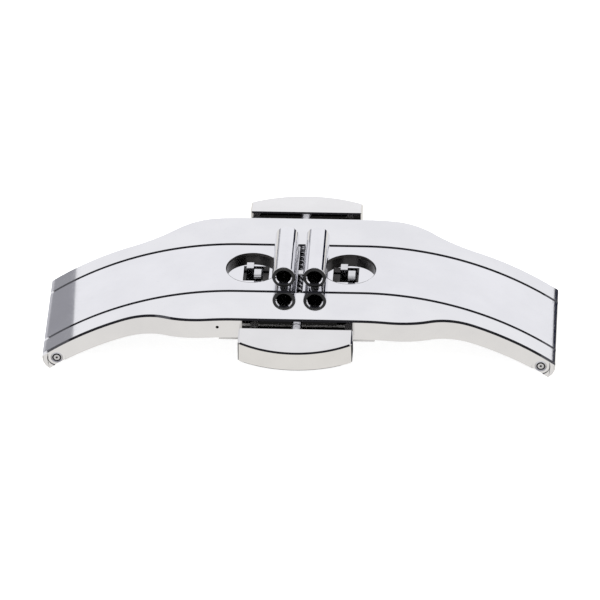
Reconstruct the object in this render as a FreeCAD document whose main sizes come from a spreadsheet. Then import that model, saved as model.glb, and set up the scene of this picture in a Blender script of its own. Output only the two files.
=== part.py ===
# Butterfly clasp with two push buttons, closed. Millimetres.
# X runs along the clasp, Y across it towards the rear button, Z up out of the wrist.
# The origin is at the middle of the clasp, on the plane that the rail ends stand on.
import FreeCAD, Part
import math
import os

import Sketcher
from FreeCAD import Placement, Rotation, Vector

doc = FreeCAD.newDocument("butterfly_clasp")

# Driving dimensions
driving = {
    "flat_half": 5.0,            # straight middle of the side view, each way
    "curve_radius": 27.0,        # outer surface from there to the ends
    "pin_reach": 19.65,          # hinge pins from the middle
    "pin_depth": 0.95,           # hinge pins below the outer surface
    "pin_radius": 0.5,
    "pin_recess": 0.1,           # pin end behind the rail face
    "sink_step": 0.22,           # recess wider than the pin
    "nose_radius": 1.2,          # round ends about the pins
    "rail_height": 1.75,
    "block_half": 6.8,           # middle block with the channel floor
    "middle_half": 7.75,         # half width at the buttons
    "shoulder": 7.2,             # where the rails start to draw in
    "waist_reach": 14.2,         # where they stop
    "end_half": 5.6,
    "outer_bevel": 0.2,
    "inner_bevel": 0.12,
    "wing_half": 3.5,
    "wing_thick": 1.0,
    "wing_side_gap": 0.08,
    "wing_floor_gap": 0.1,
    "free_gap": 0.46,            # between the free ends of the two wings
    "running_gap": 0.03,         # radial, on pins and stems
    "undercut_gap": 0.15,        # room beside the spring stop under the free ends
    "undercut_head_gap": 0.04,   # over the stem heads
    "well_radius": 2.1,
    "well_reach": 3.95,
    "well_depth": 0.55,
    "window_inner": 2.6,
    "window_outer": 4.7,
    "window_half": 1.1,
    "tube_radius": 0.96,
    "tube_bore_radius": 0.6,
    "tube_half": 3.15,
    "tube_reach": 1.25,
    "tube_lift": 1.12,           # tube axis above the wing
    "tube_bevel": 0.1,
    "foot_half": 0.42,
    "foot_length_half": 2.8,
    "stem_radius": 0.45,
    "stem_depth": 0.8,           # stem axis below the outer surface
    "stem_head_step": 0.11,      # head wider than the stem
    "stem_head_length": 0.25,
    "stem_root": 1.4,            # stem length inside its button
    "button_half": 4.6,
    "button_gap": 1.0,
    "button_side_depth": 1.9,
    "button_crown": 1.3,         # how far the middle of the outer edge stands out
    "button_top": 0.12,          # below the outer surface at the inner edge
    "button_thick": 2.05,
    "button_slope": 6.0,         # degrees, top face towards the outer edge
    "button_bevel": 0.14,
    "arm_width": 0.6,
    "arm_near": 3.5,
    "arm_far": 4.15,
    "arm_thick": 0.4,
    "arm_gap": 0.05,
    "plate_depth": 1.1,          # latch plate inside the button
    "hook_back": 0.05,
    "hook_post": 0.65,
    "hook_reach": 1.05,
    "hook_drop": 0.06,           # hook top below the outer surface
    "hook_height": 0.44,
    "rivet_radius": 0.35,
    "rivet_reach": 2.4,
    "rivet_setback": 0.65,
    "rivet_length": 1.3,
    "stop_half": 0.7,
    "stop_thick": 0.5,
    "stop_peg_radius": 0.3,
    "stop_top": 0.32,
    "spring_radius": 0.36,
    "spring_wire": 0.18,
    "spring_turns": 4.5,
    "spring_seat_gap": 0.02,
    "cover_half": 6.3,
    "cover_thick": 0.28,
    "cover_inset": 0.1,
    "screw_reach": 5.55,
    "screw_side": 5.9,
    "screw_radius": 0.35,
    "screw_length": 1.2,
    "screw_head_radius": 0.62,
    "screw_head_thick": 0.18,
}


def write_sheet(name, values):
    sheet = doc.addObject("Spreadsheet::Sheet", name)
    for row, (alias, value) in enumerate(values.items(), start=1):
        sheet.set(f"A{row}", alias)
        sheet.set(f"B{row}", repr(value))
        sheet.setAlias(f"B{row}", alias)
    return sheet


size_sheet = write_sheet("size", driving)
doc.recompute()


def mm(alias):
    return float(size_sheet.get(alias))


# Places worked out from the driving dimensions
def crown_height():
    """Height of the flat middle when the lowest point of the rail ends is at zero."""
    radius = mm("curve_radius")
    run = mm("pin_reach") - mm("flat_half")
    pin_rise = math.sqrt((radius - mm("pin_depth")) ** 2 - run ** 2)
    rise = pin_rise + mm("rail_height")
    span = math.hypot(run, rise)
    along = (radius ** 2 - mm("nose_radius") ** 2 + span ** 2) / (2 * span)
    side = math.sqrt(radius ** 2 - along ** 2)
    lowest = along * rise / span - side * run / span
    return radius + mm("rail_height") - lowest


crown = crown_height()
arc_z = crown - mm("curve_radius")
pin_run = mm("pin_reach") - mm("flat_half")
pin_z = arc_z + math.sqrt((mm("curve_radius") - mm("pin_depth")) ** 2 - pin_run ** 2)
middle_half = mm("middle_half")
button_inner = middle_half + mm("button_gap")
button_corner = button_inner + mm("button_side_depth")
channel_half = mm("wing_half") + mm("wing_side_gap")
underside = crown - mm("rail_height")
head_radius = mm("stem_radius") + mm("stem_head_step")

places = {
    "crown": crown,
    "arc_z": arc_z,
    "pin_z": pin_z,
    "stem_z": crown - mm("stem_depth"),
    "channel_half": channel_half,
    "channel_floor": crown - mm("wing_thick") - mm("wing_floor_gap"),
    "underside": underside,
    "cover_bottom": underside - mm("cover_thick"),
    "arm_bottom": underside + mm("arm_gap"),
    "arm_top": underside + mm("arm_gap") + mm("arm_thick"),
    "slot_top": underside + 2 * mm("arm_gap") + mm("arm_thick"),
    "slot_inner": mm("arm_near") - mm("arm_width") / 2 - mm("arm_gap"),
    "slot_outer": mm("arm_far") + mm("arm_width") / 2 + mm("arm_gap"),
    "tube_z": crown + mm("tube_lift"),
    "button_inner": button_inner,
    "button_corner": button_corner,
    "button_top_z": crown - mm("button_top"),
    "button_bottom_z": crown - mm("button_top") - mm("button_thick"),
    "hook_top": crown - mm("hook_drop"),
    "head_radius": head_radius,
    "undercut_top": crown - mm("stem_depth") + head_radius + mm("undercut_head_gap"),
    "head_outer": channel_half - mm("spring_seat_gap"),
    "head_inner": channel_half - mm("spring_seat_gap") - mm("stem_head_length"),
}
write_sheet("place", places)
doc.recompute()
far = 40.0   # longer than anything on the clasp
past = 1.0   # cutting shapes run this far past what they cut


def box(name, x, y, z):
    piece = doc.addObject("Part::Box", name)
    for side, axis, (low, high) in (("Length", "x", x), ("Width", "y", y), ("Height", "z", z)):
        piece.setExpression(side, f"({high}) - ({low})")
        piece.setExpression(f"Placement.Base.{axis}", low)
    return piece


turns_to = {
    "x": Rotation(Vector(0, 1, 0), 90),
    "y": Rotation(Vector(1, 0, 0), -90),
    "z": Rotation(),
}


def rod(name, along, radius, centre, span):
    """Cylinder along one axis. centre holds its other two coordinates, in X, Y, Z order."""
    piece = doc.addObject("Part::Cylinder", name)
    piece.Placement = Placement(Vector(), turns_to[along])
    piece.setExpression("Radius", radius)
    piece.setExpression("Height", f"({span[1]}) - ({span[0]})")
    base = dict(zip([axis for axis in "xyz" if axis != along], centre))
    base[along] = span[0]
    for axis, expression in base.items():
        piece.setExpression(f"Placement.Base.{axis}", expression)
    return piece


def fuse(name, *shapes):
    piece = doc.addObject("Part::MultiFuse", name)
    piece.Shapes = list(shapes)
    piece.Refine = True
    return piece


def common(name, *shapes):
    piece = doc.addObject("Part::MultiCommon", name)
    piece.Shapes = list(shapes)
    return piece


def cut(name, base, *tools):
    piece = doc.addObject("Part::Cut", name)
    piece.Base = base
    piece.Tool = tools[0] if len(tools) == 1 else fuse(f"{name}_tools", *tools)
    piece.Refine = True
    return piece


def mirrored(name, source, normal):
    piece = doc.addObject("Part::Mirroring", name)
    piece.Source = source
    piece.Normal = normal
    return piece


def both_ends(name, source):
    return fuse(name, source, mirrored(f"{name}_left", source, Vector(1, 0, 0)))


def half_turned(name, source):
    """The same piece on the other side of the clasp, turned half round about Z."""
    piece = doc.addObject("Part::Compound", name)
    piece.Links = [source]
    piece.Placement = Placement(Vector(), Rotation(Vector(0, 0, 1), 180))
    return piece


def bevelled(name, base, alias, wanted):
    """Chamfer of one size on the edges that wanted() picks."""
    doc.recompute()
    width = mm(alias)
    piece = doc.addObject("Part::Chamfer", name)
    piece.Base = base
    picked = [number for number, edge in enumerate(base.Shape.Edges, start=1) if wanted(edge)]
    piece.Edges = [(number, width, width) for number in picked]
    return piece


def on_outer_surface(point):
    """True for a point on the outer surface of the side view."""
    run = abs(point.x) - mm("flat_half")
    height = crown if run <= 0 else arc_z + math.sqrt(max(mm("curve_radius") ** 2 - run ** 2, 0))
    return abs(point.z - height) < 0.001


def edge_points(edge):
    first, last = edge.ParameterRange
    return [edge.valueAt(first + (last - first) * step / 4) for step in range(5)]


def outer_edge(edge, least_half):
    """An edge of the outer surface that stays outside a half width."""
    return all(abs(p.y) > least_half - 0.01 and on_outer_surface(p) for p in edge_points(edge))


def long_edge(edge, half_width):
    """An edge of the outer surface that runs along the clasp at a half width."""
    return all(abs(abs(p.y) - half_width) < 0.001 and on_outer_surface(p) for p in edge_points(edge))


def curved_side(name, reach, half_width, drop):
    """The curved stretch of a strip, from the flat middle to a reach on the +X side."""
    sides = (f"-({half_width})", half_width)
    slab = box(f"{name}_slab", ("size.flat_half", reach), sides, ("place.arc_z", "place.crown"))
    outer = rod(f"{name}_outer", "y", "size.curve_radius", ("size.flat_half", "place.arc_z"), sides)
    inner = rod(f"{name}_inner", "y", "size.curve_radius",
                ("size.flat_half", f"place.arc_z - ({drop})"), sides)
    return cut(f"{name}_side", common(f"{name}_under", slab, outer), inner)


def strip(name, start, reach, half_width, drop):
    """A strip under the outer surface, from start on the flat middle to a reach on the +X side."""
    middle = box(f"{name}_middle", (start, "size.flat_half"), (f"-({half_width})", half_width),
                 (f"place.crown - ({drop})", "place.crown"))
    return fuse(f"{name}_strip", middle, curved_side(name, reach, half_width, drop))


past_end = "size.pin_reach + 2 * size.nose_radius"


def nose_circle(name, half_width):
    return rod(name, "y", "size.nose_radius", ("size.pin_reach", "place.pin_z"),
               (f"-({half_width})", half_width))


def end_trim(name, half_width):
    """What lies beyond the round nose about the hinge pin."""
    beyond = box(f"{name}_beyond", ("size.pin_reach", f"{far}"), (f"-({half_width})", half_width),
                 (f"-{far}", "place.crown"))
    return cut(f"{name}_trim", beyond, nose_circle(f"{name}_nose", half_width))


def space_under(name, half_width, drop):
    """What lies under a strip of one thickness, up to the round nose about the hinge pin."""
    sides = (f"-({half_width})", half_width)
    middle = box(f"{name}_middle", ("0", "size.flat_half"), sides, ("0", f"place.crown - ({drop})"))
    slab = box(f"{name}_slab", ("size.flat_half", "size.pin_reach"), sides, (f"-{past}", "place.crown"))
    lowered = rod(f"{name}_lowered", "y", "size.curve_radius",
                  ("size.flat_half", f"place.arc_z - ({drop})"), sides)
    return cut(name, fuse(f"{name}_whole", middle, common(f"{name}_side", slab, lowered)),
               nose_circle(f"{name}_nose", half_width))


# Frame
def plan_outline():
    """Plan of the frame: wide at the buttons, drawn in by an S of two equal arcs."""
    shoulder, middle = mm("shoulder"), mm("middle_half")
    waist_x, end = mm("waist_reach"), mm("end_half")
    end_x = mm("pin_reach") + 3 * mm("nose_radius")
    run, fall = (waist_x - shoulder) / 2, (middle - end) / 2
    radius = (run ** 2 + fall ** 2) / (2 * fall)
    half_angle = math.asin(run / radius) / 2
    shift_x = radius * math.sin(half_angle)
    shift_y = radius * (1 - math.cos(half_angle))
    joint = (shoulder + run, middle - fall)
    quarter = [
        ("line", (0, middle), (shoulder, middle)),
        ("arc", (shoulder, middle), (shoulder + shift_x, middle - shift_y), joint),
        ("arc", joint, (waist_x - shift_x, end + shift_y), (waist_x, end)),
        ("line", (waist_x, end), (end_x, end)),
        ("line", (end_x, end), (end_x, 0)),
    ]
    body = doc.addObject("PartDesign::Body", "frame_plan")
    sketch = body.newObject("Sketcher::SketchObject", "frame_plan_sketch")
    plane = next(f for f in body.Origin.OriginFeatures if f.Role == "XY_Plane")
    sketch.AttachmentSupport = [(plane, "")]
    sketch.MapMode = "FlatFace"
    for sign_x, sign_y in ((1, 1), (1, -1), (-1, -1), (-1, 1)):
        for kind, *points in quarter:
            spots = [Vector(sign_x * x, sign_y * y, 0) for x, y in points]
            sketch.addGeometry(Part.LineSegment(*spots) if kind == "line" else Part.Arc(*spots), False)
    pad = body.newObject("PartDesign::Pad", "frame_plan_pad")
    pad.Profile = sketch
    pad.setExpression("Length", "place.crown + size.rail_height")
    pad.Reversed = False
    return body


def make_frame():
    half = strip("rail", "0", past_end, "size.middle_half", "size.rail_height")
    blank = common("frame_blank", both_ends("frame_strip", half), plan_outline())
    bevelled_blank = bevelled("frame_outer_bevel", blank, "outer_bevel",
                              lambda edge: outer_edge(edge, mm("end_half")))
    channel = box("channel", ("-size.block_half", "size.block_half"),
                  ("-place.channel_half", "place.channel_half"),
                  ("place.channel_floor", f"place.crown + {past}"))
    bay = box("bay", ("size.block_half", f"{far}"), ("-place.channel_half", "place.channel_half"),
              (f"-{past}", f"place.crown + {past}"))
    slot = box("arm_slot", ("place.slot_inner", "place.slot_outer"),
               (f"-size.middle_half - {past}", f"size.middle_half + {past}"),
               (f"place.underside - {past}", "place.slot_top"))
    floor_slot = box("floor_slot", ("place.slot_inner", "place.slot_outer"),
                     ("-place.channel_half", "place.channel_half"),
                     (f"place.underside - {past}", "place.crown"))
    through = (f"-size.middle_half - {past}", f"size.middle_half + {past}")
    pin_bore = rod("pin_bore", "y", "size.pin_radius", ("size.pin_reach", "place.pin_z"), through)
    rear_sink = rod("rear_pin_sink", "y", "size.pin_radius + size.sink_step",
                    ("size.pin_reach", "place.pin_z"),
                    ("size.end_half - size.pin_recess", "size.middle_half"))
    front_sink = mirrored("front_pin_sink", rear_sink, Vector(0, 1, 0))
    stem_bore = rod("stem_bore", "y", "size.stem_radius + size.running_gap", ("0", "place.stem_z"), through)
    groove = rod("spring_groove", "y", "place.head_radius + 2 * size.running_gap",
                 ("0", "place.stem_z"), ("-place.channel_half", "place.channel_half"))
    peg_bore = rod("peg_bore", "z", "size.stop_peg_radius", ("0", "0"),
                   (f"place.underside - {past}", "place.crown"))
    cover_seat = box("cover_seat", ("-size.cover_half", "size.cover_half"),
                     ("-size.middle_half", "size.middle_half"),
                     (f"place.underside - {past}", "place.underside"))
    screw_bores = []
    for side, y in (("front", "-size.screw_side"), ("rear", "size.screw_side")):
        screw_bores.append(rod(f"{side}_screw_bore", "z", "size.screw_radius", ("size.screw_reach", y),
                               (f"place.underside - {past}", "place.underside + size.screw_length")))
    open_blank = cut("frame_open", bevelled_blank, channel, both_ends("bays", bay))
    rails = bevelled("frame_inner_bevel", open_blank, "inner_bevel",
                     lambda edge: long_edge(edge, channel_half))
    one_end = [end_trim("rail_end", "size.middle_half"), slot, floor_slot, pin_bore,
               rear_sink, front_sink, *screw_bores]
    ends = both_ends("frame_end_cuts", fuse("frame_end_cut", *one_end))
    return cut("base_frame", rails, cover_seat, stem_bore, groove, peg_bore, ends)


# Wings
def make_wing():
    deep = strip("wing", "size.free_gap / 2", past_end, "size.wing_half", "size.rail_height")
    edged = bevelled("wing_bevel", deep, "inner_bevel", lambda edge: long_edge(edge, mm("wing_half")))
    well = rod("well", "z", "size.well_radius", ("size.well_reach", "0"),
               ("place.crown - size.well_depth", f"place.crown + {past}"))
    window = box("window", ("size.window_inner", "size.window_outer"),
                 ("-size.window_half", "size.window_half"),
                 ("place.underside", "place.crown"))
    through = (f"-size.wing_half - {past}", f"size.wing_half + {past}")
    undercut = box("undercut", ("0", "size.stop_half + size.undercut_gap"), through,
                   ("place.underside", "place.undercut_top"))
    pin_bore = rod("knuckle_bore", "y", "size.pin_radius + size.running_gap",
                   ("size.pin_reach", "place.pin_z"), through)
    under_wing = space_under("under_wing", "size.wing_half", "size.wing_thick")
    return cut("right_wing", edged, end_trim("wing_end", "size.wing_half"), under_wing,
               well, window, undercut, pin_bore)


def make_tube():
    span = ("-size.tube_half", "size.tube_half")
    centre = ("size.tube_reach", "place.tube_z")
    barrel = rod("barrel", "y", "size.tube_radius", centre, span)

    def rim(edge):
        return isinstance(edge.Curve, Part.Circle)

    barrel = bevelled("barrel_bevel", barrel, "tube_bevel", rim)
    foot = box("foot", ("size.tube_reach - size.foot_half", "size.tube_reach + size.foot_half"),
               ("-size.foot_length_half", "size.foot_length_half"), ("place.crown", "place.tube_z"))
    bore = rod("tube_bore", "y", "size.tube_bore_radius", centre, span)
    return cut("right_tube", fuse("tube_solid", barrel, foot), bore)


def make_hinge_pin():
    end = "size.end_half - size.pin_recess"
    return rod("right_hinge_pin", "y", "size.pin_radius", ("size.pin_reach", "place.pin_z"),
               (f"-({end})", end))


# Button, stem, latch plate and rivets of the front side
def latch_arm(name, x):
    half = "size.arm_width / 2"
    width = (f"{x} - {half}", f"{x} + {half}")
    arm = box(f"{name}_arm", width, ("-place.button_inner - size.plate_depth", "-size.hook_back"),
              ("place.arm_bottom", "place.arm_top"))
    post = box(f"{name}_post", width, ("-size.hook_back - size.hook_post", "-size.hook_back"),
               ("place.arm_top", "place.hook_top"))
    round_radius = "size.hook_height / 2"
    tongue = box(f"{name}_tongue", width, (f"-size.hook_reach + {round_radius}", "-size.hook_back"),
                 ("place.hook_top - size.hook_height", "place.hook_top"))
    tip = rod(f"{name}_tip", "x", round_radius,
              (f"-size.hook_reach + {round_radius}", f"place.hook_top - {round_radius}"), width)
    return [arm, post, tongue, tip]


def rivet_bodies(name, radius):
    spans = ("place.button_bottom_z", "place.button_bottom_z + size.rivet_length")
    y = "-place.button_inner - size.rivet_setback"
    return [rod(f"{name}_{side}", "z", radius, (x, y), spans)
            for side, x in (("left", "-size.rivet_reach"), ("right", "size.rivet_reach"))]


def plate_bar(name):
    return box(name, ("-size.arm_near - size.arm_width / 2", "size.arm_far + size.arm_width / 2"),
               ("-place.button_inner - size.plate_depth", "-place.button_inner"),
               ("place.arm_bottom", "place.arm_top"))


def make_latch_plate():
    arms = latch_arm("near", "-size.arm_near") + latch_arm("far", "size.arm_far")
    whole = fuse("latch_plate_solid", plate_bar("latch_bar"), *arms)
    stem_notch = rod("plate_stem_notch", "y", "size.stem_radius", ("0", "place.stem_z"),
                     ("-place.button_inner - size.plate_depth", "-place.button_inner"))
    return cut("front_latch_plate", whole, stem_notch,
               *rivet_bodies("plate_rivet_hole", "size.rivet_radius"))


def button_plan(body):
    """Plan of the button: a rectangle whose outer side is an arc, fixed by its constraints."""
    half, crown_out = mm("button_half"), mm("button_crown")
    inner, corner = places["button_inner"], places["button_corner"]
    sketch = body.newObject("Sketcher::SketchObject", "button_plan")
    plane = next(f for f in body.Origin.OriginFeatures if f.Role == "XY_Plane")
    sketch.AttachmentSupport = [(plane, "")]
    sketch.MapMode = "FlatFace"
    inner_left, inner_right = Vector(-half, -inner, 0), Vector(half, -inner, 0)
    outer_left, outer_right = Vector(-half, -corner, 0), Vector(half, -corner, 0)
    left, back, right, front = range(4)
    start, end, origin = 1, 2, -1
    sketch.addGeometry(Part.LineSegment(outer_left, inner_left), False)
    sketch.addGeometry(Part.LineSegment(inner_left, inner_right), False)
    sketch.addGeometry(Part.LineSegment(inner_right, outer_right), False)
    sketch.addGeometry(Part.Arc(outer_left, Vector(0, -corner - crown_out, 0), outer_right), False)
    for first, first_end, second, second_end in (
        (left, end, back, start), (back, end, right, start),
        (right, end, front, end), (front, start, left, start),
    ):
        sketch.addConstraint(Sketcher.Constraint("Coincident", first, first_end, second, second_end))
    sketch.addConstraint(Sketcher.Constraint("Vertical", left))
    sketch.addConstraint(Sketcher.Constraint("Horizontal", back))
    sketch.addConstraint(Sketcher.Constraint("Vertical", right))
    sketch.addConstraint(Sketcher.Constraint("Equal", left, right))
    bound = (
        (Sketcher.Constraint("DistanceX", back, start, back, end, 2 * half), "2 * size.button_half"),
        (Sketcher.Constraint("DistanceX", back, start, origin, 1, half), "size.button_half"),
        (Sketcher.Constraint("DistanceY", back, start, origin, 1, inner), "place.button_inner"),
        (Sketcher.Constraint("DistanceY", left, start, left, end, corner - inner),
         "size.button_side_depth"),
        (Sketcher.Constraint("Radius", front, (half ** 2 + crown_out ** 2) / (2 * crown_out)),
         "(size.button_half ^ 2 + size.button_crown ^ 2) / (2 * size.button_crown)"),
    )
    for constraint, expression in bound:
        number = sketch.addConstraint(constraint)
        sketch.setExpression(f"Constraints[{number}]", expression)
    return sketch


def make_button():
    body = doc.addObject("PartDesign::Body", "button_blank")
    pad = body.newObject("PartDesign::Pad", "button_pad")
    pad.Profile = button_plan(body)
    pad.setExpression("Length", "place.button_top_z")
    lower = box("below_button", (f"-{far}", f"{far}"), (f"-{far}", "0"),
                (f"-{past}", "place.button_bottom_z"))
    angle = math.radians(mm("button_slope"))
    slope = doc.addObject("Part::Box", "button_slope_cut")
    slope.Length, slope.Width, slope.Height = far, far, far
    corner = Vector(-far / 2, -button_inner - far * math.cos(angle),
                    places["button_top_z"] - far * math.sin(angle))
    slope.Placement = Placement(corner, Rotation(Vector(1, 0, 0), mm("button_slope")))
    shaped = cut("button_shaped", body, lower, slope)
    rounded = bevelled("button_bevelled", shaped, "button_bevel", lambda edge: True)
    stem_hole = rod("button_stem_hole", "y", "size.stem_radius", ("0", "place.stem_z"),
                    ("-place.button_inner - size.stem_root", "0"))
    return cut("front_button", rounded, stem_hole, plate_bar("button_pocket"),
               *rivet_bodies("button_rivet_hole", "size.rivet_radius"))


def make_stem():
    shank = rod("stem_shank", "y", "size.stem_radius", ("0", "place.stem_z"),
                ("-place.button_inner - size.stem_root", "-place.head_inner"))
    head = rod("stem_head", "y", "place.head_radius", ("0", "place.stem_z"),
               ("-place.head_outer", "-place.head_inner"))
    return fuse("front_stem", shank, head)


def make_rivets():
    return fuse("front_rivets", *rivet_bodies("rivet", "size.rivet_radius"))


# Springs, their stop and the cover
def helix_point(radius, pitch, start, turn):
    angle = 2 * math.pi * turn
    return Vector(radius * math.cos(angle), start + pitch * turn, radius * math.sin(angle))


def helix_direction(radius, pitch, turn):
    angle = 2 * math.pi * turn
    step = 2 * math.pi * radius
    return Vector(-step * math.sin(angle), pitch, step * math.cos(angle)).normalize()


def arc_from_corner(start, corner, end):
    """The arc that touches both legs of a corner of equal legs."""
    chord_middle = (start + end) * 0.5
    half_chord = (end - start).Length / 2
    turn = math.acos(min(half_chord / (corner - start).Length, 1.0))
    towards = (corner - chord_middle).normalize()
    return Part.Arc(start, chord_middle + towards * (half_chord * math.tan(turn / 2)), end).toShape()


def coil_wire(radius, pitch, start, turns):
    """Two tangent arcs for each quarter turn of the coil, about the Y axis."""
    edges = []
    quarters = round(turns * 4)
    for quarter in range(quarters):
        ends = [quarter / 4, (quarter + 1) / 4]
        first, last = (helix_point(radius, pitch, start, turn) for turn in ends)
        lead, trail = (helix_direction(radius, pitch, turn) for turn in ends)
        chord, sum_of = last - first, lead + trail
        square = sum_of.dot(sum_of) - 4
        leg = (chord.dot(sum_of) - math.sqrt(chord.dot(sum_of) ** 2 - square * chord.dot(chord))) / square
        near, distant = first + lead * leg, last - trail * leg
        joint = (near + distant) * 0.5
        edges.append(arc_from_corner(first, near, joint))
        edges.append(arc_from_corner(joint, distant, last))
    return Part.Wire(edges)


def make_spring():
    wire_radius = mm("spring_wire") / 2
    seat = places["head_inner"] - mm("spring_seat_gap") - wire_radius
    stop = mm("stop_thick") / 2 + mm("spring_seat_gap") + wire_radius
    pitch = (seat - stop) / mm("spring_turns")
    radius = mm("spring_radius")
    print(f"spring: pitch {pitch:.3f}, gap between turns {pitch - mm('spring_wire'):.3f}")
    path = coil_wire(radius, pitch, -seat, mm("spring_turns"))
    start = path.Edges[0].valueAt(path.Edges[0].FirstParameter)
    section = Part.Wire([Part.Circle(start, helix_direction(radius, pitch, 0), wire_radius).toShape()])
    piece = doc.addObject("Part::Feature", "front_spring")
    piece.Shape = path.makePipeShell([section], True, False)
    piece.Placement = Placement(Vector(0, 0, places["stem_z"]), Rotation())
    return piece


def make_stop():
    post = box("stop_post", ("-size.stop_half", "size.stop_half"),
               ("-size.stop_thick / 2", "size.stop_thick / 2"),
               ("place.channel_floor", "place.crown - size.stop_top"))
    peg = rod("stop_peg", "z", "size.stop_peg_radius", ("0", "0"),
              ("place.underside", "place.channel_floor"))
    return fuse("spring_stop", post, peg)


def screw_places():
    return [(x, y) for x in ("-size.screw_reach", "size.screw_reach")
            for y in ("-size.screw_side", "size.screw_side")]


def make_cover():
    edge = "size.middle_half - size.cover_inset"
    plate = box("cover_plate", ("-size.cover_half", "size.cover_half"), (f"-({edge})", edge),
                ("place.cover_bottom", "place.underside"))
    tools = []
    for number, centre in enumerate(screw_places()):
        tools.append(rod(f"cover_hole_{number}", "z", "size.screw_radius", centre,
                         (f"place.cover_bottom - {past}", f"place.underside + {past}")))
        tools.append(rod(f"cover_sink_{number}", "z", "size.screw_head_radius", centre,
                         (f"place.cover_bottom - {past}", "place.cover_bottom + size.screw_head_thick")))
    return cut("latch_cover", plate, *tools)


def make_screws():
    screws = []
    for number, centre in enumerate(screw_places()):
        shank = rod(f"screw_shank_{number}", "z", "size.screw_radius", centre,
                    ("place.cover_bottom", "place.underside + size.screw_length"))
        head = rod(f"screw_head_{number}", "z", "size.screw_head_radius", centre,
                   ("place.cover_bottom", "place.cover_bottom + size.screw_head_thick"))
        screws.append(fuse(f"screw_{number}", shank, head))
    piece = doc.addObject("Part::Compound", "cover_screws")
    piece.Links = screws
    return piece


parts = {
    "base_frame": make_frame(),
    "right_wing": make_wing(),
    "right_tube": make_tube(),
    "right_hinge_pin": make_hinge_pin(),
    "front_button": make_button(),
    "front_stem": make_stem(),
    "front_latch_plate": make_latch_plate(),
    "front_rivets": make_rivets(),
    "front_spring": make_spring(),
    "spring_stop": make_stop(),
    "latch_cover": make_cover(),
    "cover_screws": make_screws(),
}
opposite = {"right": "left", "front": "rear"}
for name, piece in list(parts.items()):
    side, _, rest = name.partition("_")
    if side in opposite:
        turned_name = f"{opposite[side]}_{rest}"
        parts[turned_name] = half_turned(turned_name, piece)

doc.recompute()
for thing in doc.Objects:
    if {"Invalid", "Error"} & set(thing.State):
        raise SystemExit(f"{thing.Name} did not build: {thing.State}")

os.makedirs("parts", exist_ok=True)
for name, piece in parts.items():
    piece.Label = name
    shape = piece.Shape
    if shape.isNull() or not shape.isValid() or not shape.Solids:
        raise SystemExit(f"{name} has no valid solid")
    shape.exportStep(f"parts/{name}.step")
    bounds = shape.BoundBox
    print(f"{name}: {len(shape.Solids)} solid, {shape.Volume:.3f} mm3, "
          f"x {bounds.XMin:.2f}..{bounds.XMax:.2f} y {bounds.YMin:.2f}..{bounds.YMax:.2f} "
          f"z {bounds.ZMin:.2f}..{bounds.ZMax:.2f}")
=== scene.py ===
import math

import bmesh
import bpy
from mathutils import Matrix, Vector


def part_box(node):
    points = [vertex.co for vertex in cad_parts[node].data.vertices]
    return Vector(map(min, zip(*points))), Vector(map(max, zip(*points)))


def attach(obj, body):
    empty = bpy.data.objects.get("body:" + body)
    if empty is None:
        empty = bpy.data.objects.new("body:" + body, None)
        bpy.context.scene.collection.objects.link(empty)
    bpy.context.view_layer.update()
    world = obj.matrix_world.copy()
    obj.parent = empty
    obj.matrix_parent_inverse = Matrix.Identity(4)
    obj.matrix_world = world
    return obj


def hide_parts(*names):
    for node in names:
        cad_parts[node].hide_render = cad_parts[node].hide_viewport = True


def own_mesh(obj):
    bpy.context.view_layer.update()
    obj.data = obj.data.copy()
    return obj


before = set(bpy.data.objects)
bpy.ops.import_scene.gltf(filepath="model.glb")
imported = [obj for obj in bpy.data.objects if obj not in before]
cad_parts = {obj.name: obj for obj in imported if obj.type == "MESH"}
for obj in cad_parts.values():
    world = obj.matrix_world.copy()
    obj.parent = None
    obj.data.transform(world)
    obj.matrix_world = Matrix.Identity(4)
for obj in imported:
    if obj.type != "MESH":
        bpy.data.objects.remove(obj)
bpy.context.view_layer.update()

mm = 0.001
past = 1.0         # mm: cutters run this far past what they cut
nearby = 0.01      # mm: faces and rims are found within this
touching = 0.002   # mm: points on a surface are found within this
weld = 0.0005      # mm: doubles closer than this are merged
square = 0.9       # a normal's share of an axis above which a face counts as square to it


# Sizes read from the frame

def boxInMm(node):
    low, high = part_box(node)
    return Vector(low) / mm, Vector(high) / mm


railLow, railHigh = boxInMm("base_frame")
wingLow = boxInMm("right_wing")[0]
tubeLow, tubeHigh = boxInMm("right_tube")
pinLow, pinHigh = boxInMm("right_hinge_pin")
buttonLow, buttonHigh = boxInMm("front_button")
stemLow, stemHigh = boxInMm("front_stem")
plateHigh = boxInMm("front_latch_plate")[1]
springLow, springHigh = boxInMm("front_spring")
coverLow, coverHigh = boxInMm("latch_cover")
stopLow, stopHigh = boxInMm("spring_stop")

crown = railHigh.z
underside = coverHigh.z
pinX = (pinLow.x + pinHigh.x) / 2
pinZ = (pinLow.z + pinHigh.z) / 2
pinRadius = (pinHigh.z - pinLow.z) / 2
stemZ = (stemLow.z + stemHigh.z) / 2

sideView = {
    "flatHalf": 5.0,       # straight middle
    "radius": 27.0,        # outer surface from there to the ends
    "step": 0.2,           # between two stations of the curved stretch
    "pastEnd": 2.4,        # blanks run this far past the hinge pins
    "noseRadius": 1.2,
    "cutLow": -3.0,        # cutters at the ends start below the blanks
    "cutReach": 6.0,       # and run this far past the hinge pins
}


def outerHeight(x):
    run = abs(x) - sideView["flatHalf"]
    if run <= 0:
        return crown
    return crown - sideView["radius"] + math.sqrt(sideView["radius"] ** 2 - run ** 2)


# Modelling helpers

def newVerts(result):
    return [item for item in result["geom"] if isinstance(item, bmesh.types.BMVert)]


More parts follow.
